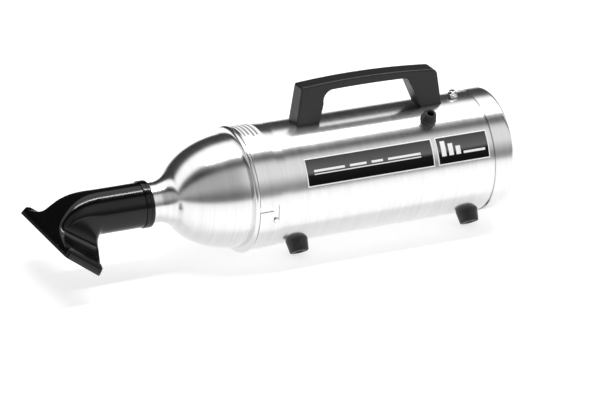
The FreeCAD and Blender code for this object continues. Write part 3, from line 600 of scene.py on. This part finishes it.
class BLOWER_OT_stage(bpy.types.Operator):
    """Pale floor, soft studio light and the camera"""
    bl_idname = "blower.stage"
    bl_label = "Studio"

    # How far the floor lies under the feet, in metres, so that the two don't flicker.
    FLOOR_DROP = 0.0002
    # The studio's brightness by the angle round the blower's length, from straight down
    # through the far side (0), overhead (90) and the near side (180). None is the softbox.
    BANDS = [(-90, 0.9), (-2, 0.6), (2, 0.04), (42, 0.04), (50, None), (82, None), (89, 0.10),
             (94, 0.015), (110, 0.015), (120, 0.90), (146, 0.95), (158, 0.60), (169, 0.26),
             (178, 0.28), (190, 1.1), (269, 1.2)]
    # The strip light's length and width and its place in metres, and its lean in degrees.
    STRIP_SIZE = (1.8, 0.12)
    STRIP_PLACE = (0.5, 0.13, 1.5)
    STRIP_LEAN = -5
    # The camera's turn, rise and roll in degrees, and the point it looks at, in metres.
    CAMERA_TURNS = (25.2548, 22.6298, 0.6746)
    CAMERA_TARGET = (0.02719, 0, 0.03878)

    def execute(self, context):
        studio = context.scene.blower_studio
        self.make_floor(context, studio)
        self.make_light(context, studio)
        self.make_camera(context, studio)
        return {"FINISHED"}

    def make_floor(self, context, studio):
        side, front, back = studio.floor_side, studio.floor_front, studio.floor_back
        corners = [(-side, -front), (side, -front), (side, back), (-side, back)]
        mesh = bpy.data.meshes.new("floor")
        mesh.from_pydata([(x, y, -self.FLOOR_DROP) for x, y in corners], [], [(0, 1, 2, 3)])
        finish = Finish("pale_floor", Emission_Strength=studio.floor_glow)
        cloud = finish.speckle(finish.place(), 3.0, 2.0)
        finish.give("Base Color", finish.mix(cloud, grey(0.46), grey(0.50)))
        finish.give("Emission Color", finish.mix(cloud, grey(0.99), grey(1.0)))
        finish.give("Roughness", 0.8 + 0.1 * cloud)
        mesh.materials.append(finish.material)
        floor = bpy.data.objects.new("floor", mesh)
        context.scene.collection.objects.link(floor)

    def make_light(self, context, studio):
        """The studio's bands of light and dark, and the strip light."""
        world = bpy.data.worlds.new("studio")
        context.scene.world = world
        world.use_nodes = True
        work = NodeWork(world.node_tree)
        x, y, z = work.parts(work.node("ShaderNodeTexCoord", output="Generated"))
        angle = work.maths("ARCTAN2", z, y) * (180 / math.pi)
        angle = angle + 360 * (angle < -90)
        share = (angle + 90) / 360
        top = studio.softbox
        levels = [(at, top if level is None else level) for at, level in self.BANDS]
        light = work.ramp(share, *[((at + 90) / 360, level / top) for at, level in levels])
        near_side = work.band(angle, 98, 183, 6)
        panel_end = 1 - work.step(x, 0.05, 0.36)
        background = work.tree.nodes["Background"]
        work.feed(background.inputs["Color"], light)
        work.feed(background.inputs["Strength"], top * (1 - 0.48 * near_side * panel_end))
        context.scene.view_settings.view_transform = "Standard"
        lamp = bpy.data.lights.new("strip_light", "AREA")
        lamp.shape = "RECTANGLE"
        lamp.size, lamp.size_y = self.STRIP_SIZE
        lamp.energy = studio.strip
        strip = bpy.data.objects.new("strip_light", lamp)
        strip.location = self.STRIP_PLACE
        strip.rotation_euler = (math.radians(self.STRIP_LEAN), 0, 0)
        context.scene.collection.objects.link(strip)

    def make_camera(self, context, studio):
        data = bpy.data.cameras.new("camera")
        data.lens = studio.lens
        camera = bpy.data.objects.new("camera", data)
        context.scene.collection.objects.link(camera)
        turn, rise, roll = (math.radians(angle) for angle in self.CAMERA_TURNS)
        back = Vector((-math.sin(turn) * math.cos(rise), -math.cos(turn) * math.cos(rise),
                       math.sin(rise)))
        right = Vector((math.cos(turn), -math.sin(turn), 0))
        up = back.cross(right)
        right, up = (right * math.cos(roll) + up * math.sin(roll),
                     up * math.cos(roll) - right * math.sin(roll))
        place = Matrix((right, up, back)).transposed().to_4x4()
        place.translation = Vector(self.CAMERA_TARGET) + back * studio.distance
        camera.matrix_world = place
        context.scene.camera = camera


class BLOWER_OT_steel(bpy.types.Operator):
    """Brushed steel tube and rear cap"""
    bl_idname = "blower.steel"
    bl_label = "Steel shell"

    def execute(self, context):
        finish_nodes(brushed_steel("steel_tube", 1.0), "body_tube", degrees=24)
        # The rear cap's flat face gets painted shade.
        rear = brushed_steel("steel_rear", -1.0, flat=context.scene.blower_colours.rear_face_shade)
        finish_nodes(rear, "rear_cap", degrees=24)
        return {"FINISHED"}


class BLOWER_OT_nose(bpy.types.Operator):
    """The spun steel nose: neck, hollow curve, dome, bead and skirt"""
    bl_idname = "blower.nose"
    bl_label = "Nose"

    # Outlines are points (x, r) in millimetres. The tip is the neck's open end, and the base
    # is where the dome's curve meets the bead.
    TIP_X = -113.0
    BASE_X = -5.4
    HOLLOW_STEPS = 24
    DOME_STEPS = 64
    BEAD = ((-5.4, 57.5), (-5.0, 58.5), (-4.3, 59.2), (-3.5, 59.55), (-2.85, 59.6), (-2.2, 59.55),
            (-1.4, 59.2), (-0.7, 58.5), (-0.3, 57.5))
    SKIRT = ((-0.3, 56.95), (20.5, 56.95), (20.5, 56.05), (-1.2, 56.05))

    def execute(self, context):
        shape = in_mm(context.scene.blower_nose)
        outside = self.outline(shape)
        inside = [(x + shape.sheet * 0.35 * (x > self.TIP_X), r - shape.sheet) for x, r in outside]
        profile = outside + list(self.BEAD) + list(self.SKIRT) + inside[::-1]
        points, faces = skin(lathe(profile, shape.sides))
        piece = make_piece("nose_shell", points, faces, brushed_steel("steel_nose", 1.0), "nose",
                           ["nose_dome"])
        crease(piece.data, 34)
        return {"FINISHED"}

    def outline(self, shape):
        """Points (x, r) from the neck's tip over the hollow curve and the dome to its base."""
        # The place on the dome where the hollow curve leaves it, found by halving.
        low, high = math.radians(95), math.radians(179)
        for _ in range(60):
            at = (low + high) / 2
            meet, centre = self.touch(at, shape)
            if centre[1] > shape.neck + shape.hollow:
                low = at
            else:
                high = at
        start = math.atan2(meet[1] - centre[1], meet[0] - centre[0])
        points = [(self.TIP_X, shape.neck), (self.TIP_X + 6, shape.neck),
                  (centre[0] - 2, shape.neck)]
        for step in range(self.HOLLOW_STEPS + 1):
            angle = -math.pi / 2 + (start + math.pi / 2) * step / self.HOLLOW_STEPS
            points.append((centre[0] + shape.hollow * math.cos(angle),
                           centre[1] + shape.hollow * math.sin(angle)))
        base = math.acos(self.BASE_X / shape.length)
        for step in range(1, self.DOME_STEPS + 1):
            angle = at + (base - at) * step / self.DOME_STEPS
            points.append((shape.length * math.cos(angle), shape.radius * math.sin(angle)))
        return points

    def touch(self, at, shape):
        """A point of the dome's curve, and the centre of a hollow curve that touches it there."""
        x, r = shape.length * math.cos(at), shape.radius * math.sin(at)
        lean_x, lean_r = math.cos(at) / shape.length, math.sin(at) / shape.radius
        size = math.hypot(lean_x, lean_r)
        return (x, r), (x + shape.hollow * lean_x / size, r + shape.hollow * lean_r / size)


class BLOWER_OT_labels(bpy.types.Operator):
    """The two foil badges and the paper sticker"""
    bl_idname = "blower.labels"
    bl_label = "Badges and sticker"

    LONG_BARS = [(0.06, 0.90, 0.565, 0.60), (0.06, 0.30, 0.43, 0.51),
                 (0.34, 0.47, 0.43, 0.51), (0.51, 0.60, 0.43, 0.51), (0.64, 0.90, 0.43, 0.51)]
    SHORT_BARS = [(0.08, 0.17, 0.16, 0.70), (0.22, 0.31, 0.28, 0.70),
                  (0.36, 0.45, 0.40, 0.70), (0.50, 0.92, 0.62, 0.70)]

    def execute(self, context):
        finish_nodes(badge_foil("long_badge_foil", LONG_BADGE, self.LONG_BARS), "badge_long")
        finish_nodes(badge_foil("short_badge_foil", SHORT_BADGE, self.SHORT_BARS), "badge_short")
        finish_nodes(sticker_paper("sticker_paper", STICKER), "rating_sticker")
        return {"FINISHED"}


class BLOWER_OT_nozzle(bpy.types.Operator):
    """The moulded nozzle: sleeve, elbow, fan and mouth in one shell"""
    bl_idname = "blower.nozzle"
    bl_label = "Nozzle"

    # Cross sections from the socket to the mouth: the top or front point (x, z), the bottom
    # or rear point (x, z), the half widths in front and behind, and the corner radii there.
    SECTIONS = [
        (-97.0, 20.9, -97.0, -20.9, 20.9, 20.9, 20.8, 20.8),
        (-112.0, 20.9, -112.0, -20.9, 20.9, 20.9, 20.8, 20.8),
        (-128.0, 20.9, -128.0, -20.9, 20.9, 20.9, 20.8, 20.8),
        (-140.0, 20.9, -139.5, -20.9, 20.9, 20.9, 20.5, 20.0),
        (-150.5, 20.2, -142.6, -20.9, 20.9, 22.0, 18.5, 14.5),
        (-160.4, 17.8, -144.6, -20.9, 21.1, 24.2, 15.0, 10.0),
        (-169.8, 13.2, -146.0, -21.0, 21.5, 26.6, 11.5, 7.5),
        (-177.4, 7.0, -147.2, -21.4, 22.2, 29.2, 8.5, 6.0),
        (-181.6, 2.4, -148.4, -22.2, 23.6, 32.2, 6.5, 5.0),
        (-184.0, -0.6, -149.6, -23.6, 27.0, 36.0, 5.5, 4.4),
        (-185.6, -2.9, -151.1, -25.3, 32.6, 40.2, 4.8, 4.0),
        (-187.0, -5.0, -152.8, -27.6, 40.5, 45.6, 4.2, 3.8),
        (-188.3, -7.2, -154.6, -30.1, 49.6, 51.2, 3.8, 3.6),
    ]
    # The neck's socket ends here, in millimetres.
    SOCKET_END = -116.0
    # The mouth's middle (x, z), its tilt in degrees, and its sections: how far back from the
    # mouth, half the size from front to rear, half the width, and the corner radius.
    MOUTH = (-175.0, -25.7)
    MOUTH_TILT = 36.87
    LIP = [
        (9.4, 18.5, 52.9, 3.4), (8.2, 19.6, 54.6, 3.0), (7.4, 20.2, 55.6, 2.8),
        (4.6, 20.45, 56.3, 2.8), (2.7, 20.55, 56.5, 2.8),
    ]

    def execute(self, context):
        shape = in_mm(context.scene.blower_nozzle)
        colours = context.scene.blower_colours
        rows = between(self.SECTIONS, shape.rings)
        outer = [self.loop(row, shape, 0.0) for row in rows]
        walls = [shape.socket_wall if row[0] > self.SOCKET_END else shape.wall for row in rows]
        inner = [self.loop(row, shape, wall) for row, wall in zip(rows, walls)]
        for back, half_deep, half_wide, corner in self.LIP:
            outer.append(self.mouth_loop(back, half_deep, half_wide, corner, shape))
            inner.append(self.mouth_loop(back, half_deep - shape.wall, half_wide - shape.wall,
                                         corner * 0.6, shape))
        points, faces = skin(outer + inner[::-1])
        piece = make_piece("nozzle_shell", points, faces, gloss_plastic("gloss_nozzle", 0.16),
                           "nozzle", ["nozzle_body"])
        crease(piece.data, 38)
        strip = moulded_plastic("strip_plastic", tinted(colours.plastic, 1.6), 0.26, 900.0, 0.00004)
        finish_nodes(strip, "nozzle_strip")
        return {"FINISHED"}

    def mouth_loop(self, back, half_deep, half_wide, corner, shape):
        """A cross section of the lip, level with the tilted mouth."""
        tilt = math.radians(self.MOUTH_TILT)
        x, z = self.MOUTH
        front, rear = [(x + along * math.cos(tilt) + back * math.sin(tilt),
                        z - along * math.sin(tilt) + back * math.cos(tilt))
                       for along in (-half_deep, half_deep)]
        return self.loop((*front, *rear, half_wide, half_wide, corner, corner), shape, 0.0)

    def loop(self, row, shape, inset):
        """A cross section whose front and rear corners have their own width and radius."""
        front_x, front_z, rear_x, rear_z, *across = row
        front = Vector((front_x, 0, front_z))
        rear = Vector((rear_x, 0, rear_z))
        middle = (front + rear) / 2
        depth = (front - rear).normalized()
        half = (front - rear).length / 2 - inset
        wide_front, wide_rear, round_front, round_rear = (size - inset for size in across)
        least = 0.8
        in_front = (wide_front, max(round_front, least))
        behind = (wide_rear, max(round_rear, least))
        quarter = shape.sides // 4
        points = []
        for side, level, (wide, bend) in ((1, 1, in_front), (-1, 1, in_front),
                                          (-1, -1, behind), (1, -1, behind)):
            for step in range(quarter):
                t = step / (quarter - 1)
                angle = math.pi / 2 * (t if side * level > 0 else 1 - t)
                sideways = side * (wide - bend + bend * math.cos(angle))
                rise = level * (half - bend + bend * math.sin(angle))
                local = middle + depth * rise + Vector((0, sideways, 0))
                points.append(spot(*local))
        return points


class BLOWER_OT_cuff(bpy.types.Operator):
    """The collar that holds the nozzle on the neck"""
    bl_idname = "blower.cuff"
    bl_label = "Collar"

    PROFILE = [(-96.85, 20.75), (-96.8, 21.6), (-96.4, 22.0), (-95.8, 22.1), (-93.2, 22.1),
               (-92.9, 21.75), (-92.4, 21.75), (-92.1, 22.1), (-90.0, 22.1), (-89.3, 21.95),
               (-88.9, 21.5), (-88.8, 20.9), (-88.8, 19.6), (-89.0, 19.12), (-92.6, 19.12),
               (-92.7, 20.62)]

    def execute(self, context):
        points, faces = skin(lathe(self.PROFILE, 128))
        piece = make_piece("collar_shell", points, faces, gloss_plastic("gloss_collar", 0.17),
                           "cuff", ["nozzle_cuff"])
        crease(piece.data, 40)
        return {"FINISHED"}


class BLOWER_OT_handle(bpy.types.Operator):
    """The satin handle with its grained surface"""
    bl_idname = "blower.handle"
    bl_label = "Handle"

    def execute(self, context):
        colours = context.scene.blower_colours
        satin = moulded_plastic("satin_handle", tinted(colours.plastic, 1.1), 0.40, 1500.0, 0.00008)
        finish_nodes(satin, "handle", degrees=28)
        return {"FINISHED"}


class BLOWER_OT_rubber(bpy.types.Operator):
    """Rubber feet and the ribbed cord gland"""
    bl_idname = "blower.rubber"
    bl_label = "Feet and gland"

    # The gland's place along the tube and round it in degrees, the radius of its seat, its
    # bore, and the distance from one rib to the next, in millimetres.
    GLAND_X = 184.8
    GLAND_ANGLE = 119.3
    SEAT = 57.25
    BORE = 3.6
    RIB_PITCH = 2.45

    def execute(self, context):
        black = rubber("foot_rubber")
        finish_nodes(black, "foot_front_left", "foot_front_right",
                     "foot_rear_left", "foot_rear_right")
        self.make_gland(black)
        return {"FINISHED"}

    def make_gland(self, black):
        """A tapered bushing with round ribs, standing on the tube."""
        base, bore = self.SEAT, self.BORE
        profile = [(base - 1.2, bore), (base - 1.2, 7.3), (base + 1.6, 7.6), (base + 2.3, 7.3)]
        rib_from = base + 2.6
        for rib in range(3):
            start = rib_from + rib * self.RIB_PITCH
            out = 7.1 - rib * 0.55
            profile += [(start, out - 1.3), (start + 0.15, out - 0.35), (start + 0.6, out),
                        (start + 1.05, out), (start + 1.45, out - 0.35), (start + 1.6, out - 1.3),
                        (start + 2.0, out - 1.5)]
        profile += [(base + 9.9, 4.9), (base + 10.0, 4.4), (base + 9.9, bore + 0.1)]
        upright = Matrix.Rotation(math.radians(-90), 3, "Y")
        lean = Matrix.Rotation(math.radians(self.GLAND_ANGLE - 90), 3, "X") @ upright
        points, faces = skin(lathe(profile, 72, (self.GLAND_X, 0, 0), lean))
        make_piece("gland_ribs", points, faces, black, "housing", ["cord_gland"])


class BLOWER_OT_switch(bpy.types.Operator):
    """The push switch: bright bushing, nut and button"""
    bl_idname = "blower.switch"
    bl_label = "Switch"

    def execute(self, context):
        finish_nodes(bright_metal("switch_plating", 0.86, 0.07),
                     "switch_bushing", "switch_nut", "switch_button")
        finish_nodes(bright_metal("nut_plating", 0.70, 0.22), "switch_locknut")
        black = tinted(context.scene.blower_colours.plastic, 1.2)
        finish_nodes(moulded_plastic("switch_case", black, 0.36, 900.0, 0.00006), "switch_body")
        finish_nodes(bright_metal("brass_blades", 0.70, 0.20), "switch_blades")
        return {"FINISHED"}


class BLOWER_OT_bag(bpy.types.Operator):
    """The cloth filter bag, hanging from its collar"""
    bl_idname = "blower.bag"
    bl_label = "Filter bag"

    PROFILE = [(-48.2, 17.6), (-47.5, 20.5), (-46.6, 26.0), (-44.4, 33.0), (-40.0, 38.8),
               (-33.0, 42.0), (-22.0, 43.2), (-6.0, 43.0), (10.0, 42.6), (26.0, 42.6),
               (38.0, 42.0), (47.0, 39.6), (54.0, 34.0), (58.5, 24.0), (60.6, 12.0), (61.2, 3.0)]
    # The cloth's thickness, where the bag ends inside, and its count of pleats. Then where it
    # is held in front and at the rear, and how far from there it takes to hang loose.
    CLOTH = 0.9
    INNER_END = 60.2
    PLEATS = 9
    FRONT_HOLD, FRONT_RUN = -47.0, 30.0
    REAR_HOLD, REAR_RUN = 61.5, 22.0

    def execute(self, context):
        shape = in_mm(context.scene.blower_bag)
        cloth = woven_cloth("bag_cloth", tuple(context.scene.blower_colours.cloth), 5200.0)
        rows = between(self.PROFILE, 3)
        outside = [self.loop(x, r, shape) for x, r in rows]
        inside = [self.loop(min(x, self.INNER_END), max(r - self.CLOTH, 1.2), shape)
                  for x, r in rows]
        points, faces = skin(outside, closed=False)
        under_points, under_faces = skin(inside, closed=False)
        shift = len(points)
        count = shape.around
        faces += [tuple(reversed([at + shift for at in face])) for face in under_faces]
        points += under_points
        faces += [(at, at + shift, (at + 1) % count + shift, (at + 1) % count)
                  for at in range(count)]
        last = shift - count
        faces.append(tuple(last + at for at in range(count)))
        faces.append(tuple(shift + last + at for at in reversed(range(count))))
        make_piece("bag_cloth_shell", points, faces, cloth, "nose", ["filter_bag"])
        finish_nodes(moulded_plastic("grey_fittings", grey(0.22), 0.42, 700.0, 0.00006),
                     "bag_inlet_pipe", "bag_pipe_ring", "bag_collar")
        return {"FINISHED"}

    def loop(self, x, r, shape):
        """A ring of the bag with lengthwise folds, a flatter top and a sagging belly."""
        from_front = (x - self.FRONT_HOLD) / self.FRONT_RUN
        from_rear = (self.REAR_HOLD - x) / self.REAR_RUN
        loose = max(0.0, min(1.0, from_front)) * max(0.0, min(1.0, from_rear))
        points = []
        for at in range(shape.around):
            angle = 2 * math.pi * at / shape.around
            wrinkle = noise.noise(Vector((x * 0.03, 2.2 * math.cos(angle), 2.2 * math.sin(angle))))
            pleat = math.sin(angle * self.PLEATS + x * 0.02) * 0.5 - 0.5
            out = r + loose * shape.folds * (0.6 * wrinkle + 0.45 * pleat - 0.4)
            y = out * math.cos(angle)
            z = out * math.sin(angle) - loose * shape.sag * (0.45 if math.sin(angle) > 0 else 0.3)
            points.append(spot(x, y, z))
        return points


class BLOWER_OT_filter(bpy.types.Operator):
    """The foam disc behind the rear vents"""
    bl_idname = "blower.filter"
    bl_label = "Foam filter"

    PROFILE = [(250.9, 5.3), (250.7, 9.0), (250.6, 20.0), (250.6, 38.0), (250.7, 50.0),
               (251.1, 54.2), (252.4, 55.5), (254.5, 55.75), (256.6, 55.5), (257.9, 54.2),
               (258.3, 50.0), (258.4, 38.0), (258.4, 20.0), (258.3, 9.0), (258.1, 5.3)]

    def execute(self, context):
        points, faces = skin(lathe(self.PROFILE, 96))
        piece = make_piece("foam_disc", points, faces, open_foam("open_foam"), "housing",
                           ["exhaust_filter"])
        return {"FINISHED"}


class BLOWER_OT_fasteners(bpy.types.Operator):
    """Pins, nuts, screws, the stud and its cross"""
    bl_idname = "blower.fasteners"
    bl_label = "Fasteners"

    def execute(self, context):
        finish_nodes(bright_metal("pin_plating", 0.80, 0.12), "bayonet_pins", "cap_nut")
        finish_nodes(bright_metal("zinc_plating", 0.62, 0.28), "cap_stud", "cap_spider",
                     "handle_screws", "handle_washers", "foot_screws", "foot_nuts",
                     "gland_nut", "motor_screws", "impeller_nut")
        return {"FINISHED"}


class BLOWER_OT_motor(bpy.types.Operator):
    """The motor's iron, windings, bearings and brush gear"""
    bl_idname = "blower.motor"
    bl_label = "Motor"

    def execute(self, context):
        finish_nodes(laminations("stacked_sheets"), "armature_core", "stator_core")
        finish_nodes(wound_wire("enamelled_wire", (0.62, 0.28, 0.12)),
                     "armature_windings", "field_coils")
        finish_nodes(wound_wire("commutator_bars", (0.70, 0.42, 0.24)), "commutator")
        bearings = [f"{end}_bearing_{part}" for end in ("front", "rear")
                    for part in ("outer_race", "inner_race", "balls")]
        finish_nodes(bright_metal("ground_steel", 0.74, 0.14), "motor_shaft", *bearings)
        finish_nodes(cast_metal("bracket_casting", 0.66), "front_bracket", "rear_bracket")
        finish_nodes(cast_metal("brush_brass", 0.58), "brush_holders")
        finish_nodes(moulded_plastic("pressed_carbon", grey(0.05), 0.62, 1600.0, 0.0001),
                     "carbon_brushes")
        finish_nodes(moulded_plastic("lead_sleeving", grey(0.06), 0.45, 900.0, 0.00005),
                     "inner_leads")
        return {"FINISHED"}


class BLOWER_OT_fan(bpy.types.Operator):
    """The fan, its shells, the guard and the rubber mounts"""
    bl_idname = "blower.fan"
    bl_label = "Fan"

    def execute(self, context):
        finish_nodes(cast_metal("fan_alloy", 0.72), "impeller", "fan_intake_shell")
        finish_nodes(moulded_plastic("grey_mouldings", grey(0.24), 0.44, 800.0, 0.00006),
                     "diffuser", "motor_guard")
        finish_nodes(rubber("mount_rubber"), "front_mount_ring", "rear_mount_ring")
        return {"FINISHED"}


# ---- panel and registering ---------------------------------------------------------------------

GROUPS = {"blower_studio": BlowerStudio, "blower_colours": BlowerColours,
          "blower_nose": BlowerNose, "blower_nozzle": BlowerNozzle, "blower_bag": BlowerBag}
OPERATORS = (BLOWER_OT_stage, BLOWER_OT_steel, BLOWER_OT_nose, BLOWER_OT_labels,
             BLOWER_OT_nozzle, BLOWER_OT_cuff, BLOWER_OT_handle, BLOWER_OT_rubber,
             BLOWER_OT_switch, BLOWER_OT_bag, BLOWER_OT_filter, BLOWER_OT_fasteners,
             BLOWER_OT_motor, BLOWER_OT_fan)


class BLOWER_PT_panel(bpy.types.Panel):
    """Every piece of the blower, in the order they are made"""
    bl_label = "Hand Blower"
    bl_space_type = "VIEW_3D"
    bl_region_type = "UI"
    bl_category = "Blower"

    def draw(self, context):
        for kind in OPERATORS:
            self.layout.operator(kind.bl_idname)
        for title, group in GROUPS.items():
            box = self.layout.box()
            for name in group.__annotations__:
                box.prop(getattr(context.scene, title), name)


def register():
    for kind in (*GROUPS.values(), *OPERATORS, BLOWER_PT_panel):
        bpy.utils.register_class(kind)
    for title, group in GROUPS.items():
        setattr(bpy.types.Scene, title, PointerProperty(type=group))


def unregister():
    for title in GROUPS:
        delattr(bpy.types.Scene, title)
    for kind in reversed((*GROUPS.values(), *OPERATORS, BLOWER_PT_panel)):
        bpy.utils.unregister_class(kind)


def main():
    register()
    for kind in OPERATORS:
        family, name = kind.bl_idname.split(".")
        getattr(getattr(bpy.ops, family), name)()


if __name__ == "__main__":
    main()
